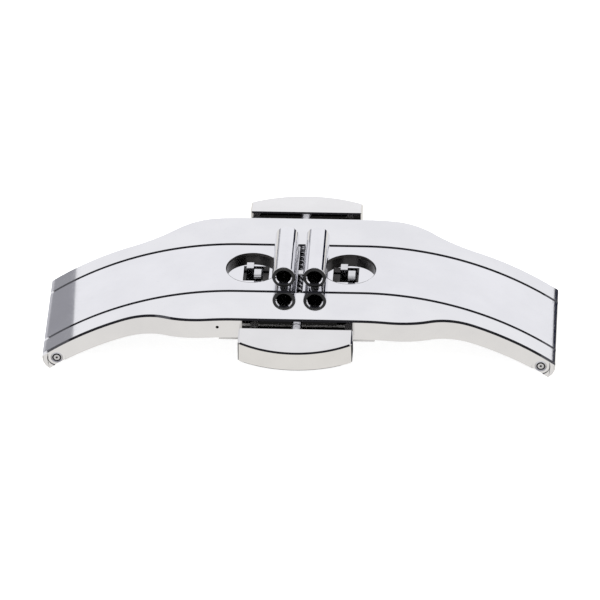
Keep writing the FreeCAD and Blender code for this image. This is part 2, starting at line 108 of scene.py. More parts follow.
def block(low, high):
    bm = bmesh.new()
    bmesh.ops.create_cube(bm, size=1)
    low, high = Vector(low), Vector(high)
    bmesh.ops.scale(bm, vec=high - low, verts=bm.verts)
    bmesh.ops.translate(bm, vec=(low + high) / 2, verts=bm.verts)
    return bm


def lathe(profile, along="z", centre=(0, 0, 0), steps=64, closed=False):
    # profile holds (radius, place along the axis) from one end to the other
    bm = bmesh.new()
    verts = [bm.verts.new((radius, 0, place)) for radius, place in profile]
    ring = verts + verts[:1] if closed else verts
    for first, second in zip(ring, ring[1:]):
        bm.edges.new((first, second))
    bmesh.ops.spin(bm, geom=bm.verts[:] + bm.edges[:], cent=(0, 0, 0), axis=(0, 0, 1),
                   angle=2 * math.pi, steps=steps, use_merge=True)
    bmesh.ops.remove_doubles(bm, verts=bm.verts, dist=weld)
    bmesh.ops.recalc_face_normals(bm, faces=bm.faces)
    if along == "y":
        bmesh.ops.rotate(bm, matrix=Matrix.Rotation(math.radians(-90), 3, "X"), verts=bm.verts)
    bmesh.ops.translate(bm, vec=centre, verts=bm.verts)
    return bm


def rod(radius, along, centre, span, steps=64):
    low, high = span
    return lathe([(0, low), (radius, low), (radius, high), (0, high)], along, centre, steps)


def strip(start, end, halfWidth, drop, lowered=0.0):
    # a strip under the outer surface, one column for the flat middle and many for the curve;
    # drop is its height, and lowered is how far its top lies under that surface
    flat = sideView["flatHalf"]
    places = [start]
    for low, high, curved in ((start, -flat, True), (-flat, flat, False), (flat, end, True)):
        low, high = max(low, start), min(high, end)
        if low < high:
            count = max(round((high - low) / sideView["step"]), 1) if curved else 1
            places += [low + (high - low) * (index + 1) / count for index in range(count)]
    bm = bmesh.new()
    bmesh.ops.create_grid(bm, x_segments=len(places) - 1, y_segments=1, size=1)
    for vert in bm.verts:
        x = places[round((vert.co.x + 1) / 2 * (len(places) - 1))]
        vert.co = (x, vert.co.y * halfWidth(x), outerHeight(x) - lowered)
    sheet = bmesh.ops.extrude_face_region(bm, geom=bm.faces[:])
    bmesh.ops.translate(bm, vec=(0, 0, -drop), verts=newVerts(sheet))
    bmesh.ops.recalc_face_normals(bm, faces=bm.faces)
    return bm


def workObject(bm):
    mesh = bpy.data.meshes.new("work")
    bm.to_mesh(mesh)
    bm.free()
    work = bpy.data.objects.new("work", mesh)
    bpy.context.collection.objects.link(work)
    return work


def combine(bm, tools, operation="DIFFERENCE"):
    base = workObject(bm)
    works = [workObject(tool) for tool in tools]
    for work in works:
        modifier = base.modifiers.new("combine", "BOOLEAN")
        modifier.operation = operation
        modifier.solver = "EXACT"
        modifier.object = work
    evaluated = base.evaluated_get(bpy.context.evaluated_depsgraph_get())
    mesh = bpy.data.meshes.new_from_object(evaluated)
    result = bmesh.new()
    result.from_mesh(mesh)
    bpy.data.meshes.remove(mesh)
    for work in [base] + works:
        data = work.data
        bpy.data.objects.remove(work)
        bpy.data.meshes.remove(data)
    bmesh.ops.remove_doubles(result, verts=result.verts, dist=weld)
    bmesh.ops.dissolve_degenerate(result, edges=result.edges, dist=weld)
    return result


def soften(bm, width, segments, wanted, least=35):
    # bevel the hard edges whose both ends are wanted
    picked = [edge for edge in bm.edges
              if len(edge.link_faces) == 2 and math.degrees(edge.calc_face_angle()) > least
              and all(wanted(vert.co) for vert in edge.verts)]
    bmesh.ops.bevel(bm, geom=picked, offset=width, offset_type="OFFSET", affect="EDGES",
                    segments=segments, profile=0.5, material=-1, clamp_overlap=False)


def prism(outline, low, high, along="y"):
    # an outline in the upright plane across Y or X, drawn out along that axis
    bm = bmesh.new()
    corners = [(first, low, z) if along == "y" else (low, first, z) for first, z in outline]
    face = bm.faces.new([bm.verts.new(corner) for corner in corners])
    across = newVerts(bmesh.ops.extrude_face_region(bm, geom=[face]))
    way = (0, high - low, 0) if along == "y" else (high - low, 0, 0)
    bmesh.ops.translate(bm, vec=way, verts=across)
    bmesh.ops.recalc_face_normals(bm, faces=bm.faces)
    return bm


def halfTurned(bm):
    turned = bm.copy()
    bmesh.ops.rotate(turned, matrix=Matrix.Rotation(math.pi, 3, "Z"), verts=turned.verts)
    return turned


def polishedNormals(bm, hardFrom):
    # a corner's normal leans to its largest faces, so that flats stay flat up to their bevels
    least = math.cos(math.radians(hardFrom))
    bm.normal_update()
    weights = {face: face.calc_area() ** 2 for face in bm.faces}
    normals = []
    for face in bm.faces:
        for loop in face.loops:
            total = Vector()
            for other in loop.vert.link_faces:
                if other.normal.dot(face.normal) > least:
                    total += other.normal * weights[other]
            normals.append(total.normalized() if total.length > 0 else face.normal.copy())
    return normals


def makePiece(name, bm, finish, slotName, body, *nodes, inside=None, hardFrom=40):
    # inside is the finish of the faces that carry material index 1, which is always painted shade, hardFrom
    # is in degrees
    normals = polishedNormals(bm, hardFrom)
    bmesh.ops.scale(bm, vec=(mm, mm, mm), verts=bm.verts)
    mesh = bpy.data.meshes.new(name)
    bm.to_mesh(mesh)
    bm.free()
    mesh.shade_smooth()
    mesh.normals_split_custom_set(normals)
    mesh.materials.append(finish)
    if inside:
        mesh.materials.append(inside)
    piece = bpy.data.objects.new(name, mesh)
    bpy.context.collection.objects.link(piece)
    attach(piece, body)
    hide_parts(*nodes)


def bothWays(names, bm, finish, slotName, bodies, nodes, inside=None):
    # a piece and its half-turned twin on the other side
    twin = halfTurned(bm)
    makePiece(names[0], bm, finish, slotName, bodies[0], nodes[0], inside=inside)
    makePiece(names[1], twin, finish, slotName, bodies[1], nodes[1], inside=inside)


# Finishes

def addNode(tree, kind, inputs=None, **values):
    node = tree.nodes.new(kind)
    for key, value in values.items():
        setattr(node, key, value)
    for key, value in (inputs or {}).items():
        if isinstance(value, bpy.types.NodeSocket):
            tree.links.new(value, node.inputs[key])
        else:
            node.inputs[key].default_value = value
    return node


def ramp(tree, value, places, tones):
    # from the first tone to the second, between the two places
    node = addNode(tree, "ShaderNodeValToRGB", {"Fac": value})
    for element, place, tone in zip(node.color_ramp.elements, places, tones):
        element.position = place
        element.color = (*tone, 1)
    return node.outputs["Color"]


steelGrain = {
    "lineDetail": 3.0,           # fine lines along the polish
    "lineContrast": 0.65,
    "patchDetail": 4.0,          # soft patches in tone
    "patchContrast": 0.6,
    "toneSpan": (0.35, 0.65),
    "roughSpan": (0.3, 0.7),
    "markScale": 0.35,           # light handling marks
    "markWidth": 0.02,
}


def steel(name, look):
    # polished or brushed steel: soft patches in tone, fine lines along the polish, light handling marks
    material = bpy.data.materials.new(name)
    material.use_nodes = True
    tree = material.node_tree
    shader = tree.nodes["Principled BSDF"]
    place = addNode(tree, "ShaderNodeTexCoord").outputs["Object"]
    mapping = addNode(tree, "ShaderNodeMapping", {"Vector": place, "Scale": look["lineScale"]})
    lines = mapping.outputs["Vector"]
    lineNoise = addNode(tree, "ShaderNodeTexNoise", {
        "Vector": lines, "Scale": 1.0, "Detail": steelGrain["lineDetail"],
        "Roughness": steelGrain["lineContrast"]}).outputs["Fac"]
    patchNoise = addNode(tree, "ShaderNodeTexNoise", {
        "Vector": place, "Scale": look["patchScale"], "Detail": steelGrain["patchDetail"],
        "Roughness": steelGrain["patchContrast"]}).outputs["Fac"]
    mark = addNode(tree, "ShaderNodeTexVoronoi", {"Vector": lines, "Scale": steelGrain["markScale"]},
                   feature="DISTANCE_TO_EDGE")
    hairline = addNode(tree, "ShaderNodeMapRange", {
        "Value": mark.outputs["Distance"], "From Min": 0.0, "From Max": steelGrain["markWidth"],
        "To Min": 1.0, "To Max": 0.0})
    tone = ramp(tree, patchNoise, steelGrain["toneSpan"], look["tones"])
    tree.links.new(tone, shader.inputs["Base Color"])
    shader.inputs["Metallic"].default_value = 1.0
    rough = addNode(tree, "ShaderNodeMapRange", {
        "Value": patchNoise, "From Min": steelGrain["roughSpan"][0], "From Max": steelGrain["roughSpan"][1],
        "To Min": look["roughness"][0], "To Max": look["roughness"][1]})
    lineRough = addNode(tree, "ShaderNodeMath", {0: lineNoise, 1: look["lineRoughness"]},
                        operation="MULTIPLY")
    total = addNode(tree, "ShaderNodeMath", {0: rough.outputs["Result"], 1: lineRough.outputs["Value"]},
                    operation="ADD")
    markRough = addNode(tree, "ShaderNodeMath", {
        0: hairline.outputs["Result"], 1: look["markRoughness"], 2: total.outputs["Value"]},
        operation="MULTIPLY_ADD")
    tree.links.new(markRough.outputs["Value"], shader.inputs["Roughness"])
    bump = addNode(tree, "ShaderNodeBump", {
        "Height": lineNoise, "Strength": look["bump"], "Distance": look["bumpDepth"]})
    tree.links.new(bump.outputs["Normal"], shader.inputs["Normal"])
    return material


lengthwise = (250.0, 9000.0, 9000.0)
crosswise = (9000.0, 250.0, 9000.0)

finishes = {
    "frameSteel": {"tones": ((0.79, 0.79, 0.805), (0.83, 0.83, 0.84)), "roughness": (0.015, 0.035),
                   "lineScale": lengthwise, "lineRoughness": 0.02, "markRoughness": 0.05,
                   "patchScale": 260.0, "bump": 0.25, "bumpDepth": 2e-7},
    "wingSteel": {"tones": ((0.79, 0.79, 0.81), (0.83, 0.83, 0.85)), "roughness": (0.015, 0.03),
                  "lineScale": lengthwise, "lineRoughness": 0.02, "markRoughness": 0.05,
                  "patchScale": 220.0, "bump": 0.25, "bumpDepth": 2e-7},
    "tubeSteel": {"tones": ((0.78, 0.78, 0.80), (0.82, 0.82, 0.84)), "roughness": (0.02, 0.05),
                  "lineScale": crosswise, "lineRoughness": 0.03, "markRoughness": 0.05,
                  "patchScale": 400.0, "bump": 0.3, "bumpDepth": 2e-7},
    # painted shade: a near-black steel for the frame's recesses, the wells' rims and the latch arms in the
    # slots
    "paintedShadeSteel": {"tones": ((0.04, 0.038, 0.036), (0.075, 0.072, 0.07)), "roughness": (0.16, 0.26),
                  "lineScale": (600.0, 600.0, 9000.0), "lineRoughness": 0.1, "markRoughness": 0.1,
                  "patchScale": 700.0, "bump": 0.5, "bumpDepth": 1e-6},
    # painted shade: a near-black steel for the tubes' bores and end faces and the pins' turned rings and
    # centre marks
    "paintedShadeTurnedSteel": {"tones": ((0.035, 0.035, 0.034), (0.07, 0.07, 0.068)), "roughness": (0.2, 0.3),
                  "lineScale": (9000.0, 900.0, 9000.0), "lineRoughness": 0.1, "markRoughness": 0.1,
                  "patchScale": 1200.0, "bump": 0.6, "bumpDepth": 1e-6},
    "buttonSteel": {"tones": ((0.79, 0.785, 0.78), (0.83, 0.825, 0.82)), "roughness": (0.02, 0.04),
                    "lineScale": lengthwise, "lineRoughness": 0.02, "markRoughness": 0.05,
                    "patchScale": 300.0, "bump": 0.25, "bumpDepth": 2e-7},
    "pinSteel": {"tones": ((0.56, 0.56, 0.58), (0.66, 0.66, 0.68)), "roughness": (0.12, 0.2),
                 "lineScale": (5000.0, 600.0, 5000.0), "lineRoughness": 0.08, "markRoughness": 0.1,
                 "patchScale": 900.0, "bump": 0.5, "bumpDepth": 8e-7},
    "latchSteel": {"tones": ((0.68, 0.68, 0.69), (0.76, 0.76, 0.77)), "roughness": (0.06, 0.14),
                   "lineScale": crosswise, "lineRoughness": 0.06, "markRoughness": 0.08,
                   "patchScale": 700.0, "bump": 0.4, "bumpDepth": 5e-7},
    "coverSteel": {"tones": ((0.66, 0.66, 0.67), (0.74, 0.74, 0.75)), "roughness": (0.14, 0.24),
                   "lineScale": lengthwise, "lineRoughness": 0.12, "markRoughness": 0.1,
                   "patchScale": 300.0, "bump": 0.6, "bumpDepth": 1e-6},
    "screwSteel": {"tones": ((0.6, 0.6, 0.62), (0.7, 0.7, 0.72)), "roughness": (0.1, 0.18),
                   "lineScale": (7000.0, 7000.0, 700.0), "lineRoughness": 0.08, "markRoughness": 0.1,
                   "patchScale": 900.0, "bump": 0.5, "bumpDepth": 8e-7},
    "springSteel": {"tones": ((0.5, 0.5, 0.52), (0.6, 0.6, 0.62)), "roughness": (0.1, 0.16),
                    "lineScale": (6000.0, 6000.0, 6000.0), "lineRoughness": 0.06, "markRoughness": 0.08,
                    "patchScale": 1500.0, "bump": 0.4, "bumpDepth": 5e-7},
}
finish = {name: steel(name, look) for name, look in finishes.items()}
print("finishes ready:", ", ".join(finish))


# Frame: two rails and the middle block, from one strip

frameSizes = {
    "shoulder": 7.2,          # half length of the wide middle
    "waistReach": 14.2,       # where the rails stop drawing in
    "endHalf": 5.6,
    "railHeight": 1.75,
    "blockHalf": 6.8,         # middle block under the channel
    "channelHalf": 3.58,
    "channelDepth": 1.1,
    "outerBevel": 0.15,
    "innerBevel": 0.12,
    "noseBevel": 0.12,
    "sinkBevel": 0.05,
    "slotSpan": (3.15, 4.5),  # slots of the latch arms, in the underside
    "slotHeight": 0.5,
    "slotInset": 0.1,         # the slots' openings in the channel floor stay off its sides
    "sinkStep": 0.22,
    "sinkDepth": 0.1,
    "stemBore": 0.48,
    "grooveRadius": 0.62,     # of the springs' groove in the channel floor
    "grooveInset": 0.02,
    "dimpleRadius": 0.13,     # small blind hole on each long face
    "dimpleDepth": 0.25,
    "dimpleReach": 6.4,
}
channelFloor = crown - frameSizes["channelDepth"]
sinkRadius = pinRadius + frameSizes["sinkStep"]
sinkStart = frameSizes["endHalf"] - frameSizes["sinkDepth"]


def planHalf(x):
    # half width of the rails: two arcs make the S-curve between the middle and the ends
    middle, end = railHigh.y, frameSizes["endHalf"]
    shoulder, waist = frameSizes["shoulder"], frameSizes["waistReach"]
    run, fall = (waist - shoulder) / 2, (middle - end) / 2
    radius = (run ** 2 + fall ** 2) / (2 * fall)
    reach = abs(x)
    if reach <= shoulder:
        return middle
    if reach >= waist:
        return end
    if reach <= shoulder + run:
        return middle - radius + math.sqrt(radius ** 2 - (reach - shoulder) ** 2)
    return end + radius - math.sqrt(radius ** 2 - (waist - reach) ** 2)


def fromPin(place):
    return math.hypot(abs(place.x) - pinX, place.z - pinZ)


def endTrim(half):
    # what lies beyond the round nose about the hinge pin
    beyond = block((pinX, -half, sideView["cutLow"]), (pinX + sideView["cutReach"], half, crown))
    nose = rod(sideView["noseRadius"], "y", (pinX, 0, pinZ), (-half - past, half + past), steps=128)
    return combine(beyond, [nose])


def frameBlank(reach):
    sizes = frameSizes
    bm = strip(-reach, reach, planHalf, sizes["railHeight"])

    def onOuterEdge(co):
        onSide = abs(co.y) > sizes["endHalf"] - nearby and abs(co.x) < reach - nearby
        return onSide and abs(co.z - outerHeight(co.x)) < touching

    soften(bm, sizes["outerBevel"], 1, onOuterEdge)
    return bm


def cutChannel(bm, reach):
    # down to the floor over the middle block, right through beyond it
    channel, blockEnd = frameSizes["channelHalf"], frameSizes["blockHalf"]
    low, high, far = sideView["cutLow"], crown + past, reach + past
    opening = [(-far, low), (-blockEnd, low), (-blockEnd, channelFloor), (blockEnd, channelFloor),
               (blockEnd, low), (far, low), (far, high), (-far, high)]
    bm = combine(bm, [prism(opening, -channel, channel)])

    def onInnerEdge(co):
        onSide = abs(abs(co.y) - channel) < touching and abs(co.x) < reach - nearby
        return onSide and abs(co.z - outerHeight(co.x)) < touching

    soften(bm, frameSizes["innerBevel"], 1, onInnerEdge)
    return bm


def frameCutters():
    sizes = frameSizes
    wide, low = railHigh.y + past, underside - past
    slotStart, slotEnd = sizes["slotSpan"]
    slotSide = sizes["channelHalf"] - sizes["slotInset"]
    grooveHalf = sizes["channelHalf"] - sizes["grooveInset"]
    atPin, atStem = (pinX, 0, pinZ), (0, 0, stemZ)
    cutters = []
    for cutter in (
        endTrim(wide),
        block((slotStart, -wide, low), (slotEnd, wide, underside + sizes["slotHeight"])),
        block((slotStart, -slotSide, low), (slotEnd, slotSide, crown)),
        rod(pinRadius, "y", atPin, (-wide, wide), steps=48),
        rod(sinkRadius, "y", atPin, (sinkStart, wide)),
        rod(sinkRadius, "y", atPin, (-wide, -sinkStart)),
    ):
        cutters += [halfTurned(cutter), cutter]
    cutters.append(rod(sizes["stemBore"], "y", atStem, (-wide, wide)))
    cutters.append(rod(sizes["grooveRadius"], "y", atStem, (-grooveHalf, grooveHalf)))
    dimple = rod(sizes["dimpleRadius"], "y", (-sizes["dimpleReach"], 0, stemZ),
                 (-wide, -railHigh.y + sizes["dimpleDepth"]), steps=24)
    return cutters + [halfTurned(dimple), dimple]


def softenEnds(bm):
    def onEndFace(co):
        return abs(abs(co.y) - frameSizes["endHalf"]) < nearby

    def onSinkRim(co):
        return onEndFace(co) and fromPin(co) < sinkRadius + nearby

    def onNoseRim(co):
        return onEndFace(co) and abs(fromPin(co) - sideView["noseRadius"]) < nearby

    soften(bm, frameSizes["sinkBevel"], 2, onSinkRim)
    soften(bm, frameSizes["noseBevel"], 3, onNoseRim)


def paintRecessShade(bm):
    # painted shade on the channel's floor, the blind holes and the walls of the pins' sinks
    sizes = frameSizes
    bm.normal_update()
    for face in bm.faces:
        middle, normal = face.calc_center_median(), face.normal
        onFloor = abs(middle.z - channelFloor) < nearby and normal.z > square
        fromDimple = math.hypot(abs(middle.x) - sizes["dimpleReach"], middle.z - stemZ)
        inDimple = fromDimple < sizes["dimpleRadius"] + nearby and abs(middle.y) < railHigh.y - nearby
        atSink = pinRadius < fromPin(middle) < sinkRadius + sizes["sinkBevel"] + nearby
        onSinkWall = (atSink and sinkStart - nearby < abs(middle.y) < sizes["endHalf"] - nearby
                      and abs(normal.y) < square)
        face.material_index = int(onFloor or inDimple or onSinkWall)


def makeFrame():
    reach = pinX + sideView["pastEnd"]
    bm = combine(cutChannel(frameBlank(reach), reach), frameCutters())
    softenEnds(bm)
    paintRecessShade(bm)
    return bm


makePiece("baseFrame", makeFrame(), finish["frameSteel"], "frame_steel", "frame", "base_frame",
          inside=finish["paintedShadeSteel"])
print("frame done")


# Wings

wingSizes = {
    "thick": 1.0,
    "half": 3.5,
    "bevel": 0.12,
    "pinGap": 0.03,         # round the hinge pin
    "wellRadius": 2.1,
    "wellReach": 3.95,
    "wellDepth": 0.55,
    "wellRim": 0.15,        # rounding of the rim
    "rimAngles": (0, 0.35, 0.7, 1.05, 1.3, math.pi / 2),
    "rimLean": 0.993,       # a normal's share of Z below which a face belongs to the rim
    "window": (2.6, 4.7),
    "windowHalf": 1.1,
    "undercut": 0.85,       # room for the spring stop under the free end
    "undercutTop": 0.2,
    "clearDepth": 4.0,      # of the cutter that gives the blade its thickness
}


def wellCutter():
    edge, rim = wingSizes["wellRadius"], wingSizes["wellRim"]
    base, high = crown - wingSizes["wellDepth"], crown + past
    rounding = [(edge + rim * (1 - math.cos(angle)), crown - rim + rim * math.sin(angle))
                for angle in wingSizes["rimAngles"]]
    profile = [(0, base), (edge, base)] + rounding + [(edge + rim, high), (0, high)]
    return lathe(profile, "z", (wingSizes["wellReach"], 0, 0), steps=96)


def wingCutters(start):
    sizes, atPin = wingSizes, (pinX, 0, pinZ)
    wide = sizes["half"] + past
    clear = strip(start - past, pinX, lambda x: wide, sizes["clearDepth"], lowered=sizes["thick"])
    knuckle = rod(sideView["noseRadius"], "y", atPin, (-wide - past, wide + past), steps=128)
    windowStart, windowEnd = sizes["window"]
    return [
        endTrim(wide),
        combine(clear, [knuckle]),
        wellCutter(),
        block((windowStart, -sizes["windowHalf"], underside), (windowEnd, sizes["windowHalf"], crown)),
        block((0, -wide, underside), (sizes["undercut"], wide, crown - sizes["undercutTop"])),
        rod(pinRadius + sizes["pinGap"], "y", atPin, (-wide, wide), steps=48),
    ]


def makeWing():
    sizes = wingSizes
    start, reach = wingLow.x, pinX + sideView["pastEnd"]
    bm = strip(start, reach, lambda x: sizes["half"], frameSizes["railHeight"])

    def onTopEdge(co):
        return co.x < reach - nearby and abs(co.z - outerHeight(co.x)) < touching

    soften(bm, sizes["bevel"], 1, onTopEdge)
    bm = combine(bm, wingCutters(start))
    bm.normal_update()
    edge, base = sizes["wellRadius"], crown - sizes["wellDepth"]
    # the well's rim and wall get painted shade, a dark ring
    for face in bm.faces:
        middle = face.calc_center_median()
        away = math.hypot(middle.x - sizes["wellReach"], middle.y)
        atRim = edge - 2 * nearby < away < edge + sizes["wellRim"] and middle.z > base
        face.material_index = int(atRim and face.normal.z < sizes["rimLean"])
    return bm


bothWays(("rightWing", "leftWing"), makeWing(), finish["wingSteel"], "wing_steel",
         ("right_wing", "left_wing"), ("right_wing", "left_wing"), inside=finish["paintedShadeSteel"])
print("wings done")


# Cross tubes on the free ends of the wings

tubeSizes = {
    "bore": 0.6,
    "rim": 0.1,             # bevel of the outer end edges
    "rimBulge": 0.3,        # its middle lies this share of the bevel from the corner
    "boreRim": 0.08,
    "threads": 9,           # turned grooves inside each end
    "threadStart": 0.25,
    "threadPitch": 0.22,
    "threadDepth": 0.05,
    "footHalf": 0.42,
    "footLength": 2.8,
    "footUnder": 0.12,      # from the foot's top to the bore
    "footRound": 0.2,       # upright edges
    "footFlare": (0.12, 0.02),   # how much wider and longer the foot is on the wing
}


def tubeBarrel(radius, half, centre):
    sizes = tubeSizes
    bore, pitch, rim = sizes["bore"], sizes["threadPitch"], sizes["rim"]
    inside = [(bore + sizes["boreRim"], half), (bore, half - sizes["boreRim"])]
    for thread in range(sizes["threads"]):
        place = half - sizes["threadStart"] - thread * pitch
        inside += [(bore, place), (bore + sizes["threadDepth"], place - pitch / 2)]
    inside.append((bore, inside[-1][1] - pitch / 2))
    bulge = sizes["rimBulge"] * rim
    outside = [(radius - rim, half), (radius - bulge, half - bulge), (radius, half - rim)]
    profile = inside[::-1] + outside
    profile += [(r, -place) for r, place in reversed(profile)]
    return lathe(profile, "y", centre, steps=96, closed=True)


def tubeFoot(centre):
    sizes = tubeSizes
    half, length = sizes["footHalf"], sizes["footLength"]
    foot = block((centre[0] - half, -length, crown),
                 (centre[0] + half, length, centre[2] - sizes["bore"] - sizes["footUnder"]))
    upright = [edge for edge in foot.edges if abs(edge.verts[0].co.z - edge.verts[1].co.z) > nearby]
    bmesh.ops.bevel(foot, geom=upright, offset=sizes["footRound"], affect="EDGES", segments=4, profile=0.5,
                    material=-1)
    low = [vert for vert in foot.verts if vert.co.z < crown + touching]
    wider, longer = sizes["footFlare"]
    bmesh.ops.scale(foot, vec=(1 + wider, 1 + longer, 1), verts=low,
                    space=Matrix.Translation(-Vector((centre[0], 0, 0))))
    return foot


def makeTube():
    sizes = tubeSizes
    radius, half = (tubeHigh.x - tubeLow.x) / 2, tubeHigh.y
    centre = ((tubeLow.x + tubeHigh.x) / 2, 0, tubeHigh.z - radius)
    tube = combine(tubeBarrel(radius, half, centre), [tubeFoot(centre)], "UNION")
    tube.normal_update()
    # painted shade in the bore and on the end faces
    for face in tube.faces:
        middle = face.calc_center_median()
        away = math.hypot(middle.x - centre[0], middle.z - centre[2])
        inBore = away < sizes["bore"] + sizes["threadDepth"] and abs(middle.y) < half - sizes["boreRim"]
        face.material_index = int(inBore or abs(face.normal.y) > square)
    return tube


bothWays(("rightTube", "leftTube"), makeTube(), finish["tubeSteel"], "tube_steel",
         ("right_wing", "left_wing"), ("right_tube", "left_tube"), inside=finish["paintedShadeTurnedSteel"])
print("tubes done")


# Hinge pins: turned, with a chamfered end, a turned ring and a centre mark

pinSizes = {
    "dimple": 0.1,
    "ring": (0.25, 0.29, 0.33, 0.37),   # radii of the turned ring's edges
    "depth": 0.07,                      # of the dimple and the ring
    "fall": (0.02, 0.04),               # of the end face, outside the ring and at the chamfer
    "chamfer": 0.1,
}


def makePin():
    sizes, half = pinSizes, pinHigh.y
    low, ring, rim = half - sizes["depth"], sizes["ring"], pinRadius - sizes["chamfer"]
    end = [(0, low), (sizes["dimple"], half), (ring[0], half), (ring[1], low), (ring[2], low),
           (ring[3], half - sizes["fall"][0]), (rim, half - sizes["fall"][1]),
           (pinRadius, half - sizes["chamfer"])]
    profile = end + [(r, -place) for r, place in reversed(end)]
    pin = lathe(profile, "y", (pinX, 0, pinZ))
    # painted shade in the centre mark and the turned ring
    for face in pin.faces:
        middle = face.calc_center_median()
        away = fromPin(middle)
        atEnd = abs(middle.y) > low - nearby
        face.material_index = int(atEnd and (away < sizes["dimple"] or ring[0] < away < ring[3]))
    return pin


bothWays(("rightHingePin", "leftHingePin"), makePin(), finish["pinSteel"], "pin_steel",
         ("frame", "frame"), ("right_hinge_pin", "left_hinge_pin"), inside=finish["paintedShadeTurnedSteel"])
print("hinge pins done")


# Push buttons with their stems and rivets

buttonSizes = {
    "sideDepth": 1.9,      # straight part of the ends, before the front arc
    "slope": 6.0,          # degrees, top face
    "bevel": 0.12,
    "columns": 48,
}


def makeButton():
    sizes = buttonSizes
    half, top, bottom = buttonHigh.x, buttonHigh.z, buttonLow.z
    corner = buttonHigh.y - sizes["sideDepth"]
    stand = corner - buttonLow.y
    radius = (half ** 2 + stand ** 2) / (2 * stand)
    bm = bmesh.new()
    bmesh.ops.create_grid(bm, x_segments=sizes["columns"], y_segments=1, size=1)
    for vert in bm.verts:
        x = vert.co.x * half
        y = buttonHigh.y if vert.co.y > 0 else buttonLow.y + radius - math.sqrt(radius ** 2 - x ** 2)
        vert.co = (x, y, top - (buttonHigh.y - y) * math.tan(math.radians(sizes["slope"])))
    lower = newVerts(bmesh.ops.extrude_face_region(bm, geom=bm.faces[:]))
    for vert in lower:
        vert.co.z = bottom
    bmesh.ops.recalc_face_normals(bm, faces=bm.faces)
    soften(bm, sizes["bevel"], 1, lambda co: True)
    return bm


stemSizes = {
    "radius": 0.45,
    "headLength": 0.25,
    "headBreak": 0.04,     # inner edge of the head
    "backBreak": 0.03,     # its outer edge
}


def makeStem():
    sizes = stemSizes
    inner, outer, head = stemHigh.y, stemLow.y, (stemHigh.z - stemLow.z) / 2
    back = inner - sizes["headLength"]
    profile = [(0, inner), (head - sizes["headBreak"], inner), (head, inner - sizes["headBreak"]),
               (head, back + sizes["backBreak"]), (head - sizes["backBreak"], back),
               (sizes["radius"], back), (sizes["radius"], outer), (0, outer)]
    return lathe(profile, "y", (0, 0, stemZ), steps=48)


rivetSizes = {
    "radius": 0.35,
    "reach": 2.4,
    "setback": 0.65,       # from the button's inner face
    "length": 1.3,
    "chamfer": (0.08, 0.06),
}


def makeRivets():
    sizes = rivetSizes
    radius, low, high = sizes["radius"], buttonLow.z, buttonLow.z + sizes["length"]
    inward, upward = sizes["chamfer"]
    profile = [(0, low), (radius - inward, low), (radius, low + upward), (radius, high), (0, high)]
    left, right = (lathe(profile, "z", (x, buttonHigh.y - sizes["setback"], 0), steps=40)
                   for x in (-sizes["reach"], sizes["reach"]))
    return combine(left, [right], "UNION")


frontAndRear = ("front_button", "rear_button")
bothWays(("frontButton", "rearButton"), makeButton(), finish["buttonSteel"], "button_steel",
         frontAndRear, frontAndRear)
bothWays(("frontStem", "rearStem"), makeStem(), finish["pinSteel"], "pin_steel",
         frontAndRear, ("front_stem", "rear_stem"))
bothWays(("frontRivets", "rearRivets"), makeRivets(), finish["pinSteel"], "pin_steel",
         frontAndRear, ("front_rivets", "rear_rivets"))
print("buttons, stems and rivets done")


# Latch plates: a bar in the button, two arms under the rail, a hook at each end

latchSizes = {
    "armWidth": 0.6,
    "near": -3.5,          # middles of the two arms
    "far": 4.15,
    "armLow": 0.05,        # above the underside of the frame
    "armThick": 0.4,
    "barDepth": 1.1,
    "post": 0.65,          # upright part behind the hook
    "hookLength": 1.0,
    "hookHeight": 0.44,
    "edge": 0.05,
    "edgeFrom": 50,        # degrees from which an edge is rounded
}
armLow = underside + latchSizes["armLow"]
armHigh = armLow + latchSizes["armThick"]
barStart = buttonHigh.y - latchSizes["barDepth"]


def makeArm(x):
    sizes, half = latchSizes, latchSizes["armWidth"] / 2
    back, top = plateHigh.y, plateHigh.z
    tip, post, under = back - sizes["hookLength"], back - sizes["post"], top - sizes["hookHeight"]
    outline = [(barStart, armLow), (back, armLow), (back, top), (tip, top), (tip, under), (post, under),
               (post, armHigh), (barStart, armHigh)]
    bm = prism(outline, x - half, x + half, along="x")
    nose = [edge for edge in bm.edges if all(abs(vert.co.y - tip) < touching for vert in edge.verts)
            and edge.calc_length() > sizes["armWidth"] - nearby]
    bmesh.ops.bevel(bm, geom=nose, offset=sizes["hookHeight"] / 2 - nearby, affect="EDGES", segments=8,
                    profile=0.5, material=-1, clamp_overlap=False)
    soften(bm, sizes["edge"], 2, lambda co: True, least=sizes["edgeFrom"])
    return bm


def makeLatchPlate():
    sizes, half = latchSizes, latchSizes["armWidth"] / 2
    bar = block((sizes["near"] - half, barStart, armLow), (sizes["far"] + half, buttonHigh.y, armHigh))
    plate = combine(bar, [makeArm(sizes["near"]), makeArm(sizes["far"])], "UNION")
    # the part outside the rails, in the slots and in the button, gets painted shade
    bmesh.ops.bisect_plane(plate, geom=plate.verts[:] + plate.edges[:] + plate.faces[:],
                           plane_co=(0, railLow.y, 0), plane_no=(0, 1, 0))
    for face in plate.faces:
        face.material_index = int(face.calc_center_median().y < railLow.y)
    return plate


bothWays(("frontLatchPlate", "rearLatchPlate"), makeLatchPlate(), finish["latchSteel"], "latch_steel",
         frontAndRear, ("front_latch_plate", "rear_latch_plate"), inside=finish["paintedShadeSteel"])
print("latch plates done")


# Springs and the stop between them

springSizes = {"wire": 0.18, "turns": 4.5, "steps": 32, "sides": 16, "travel": 0.5}


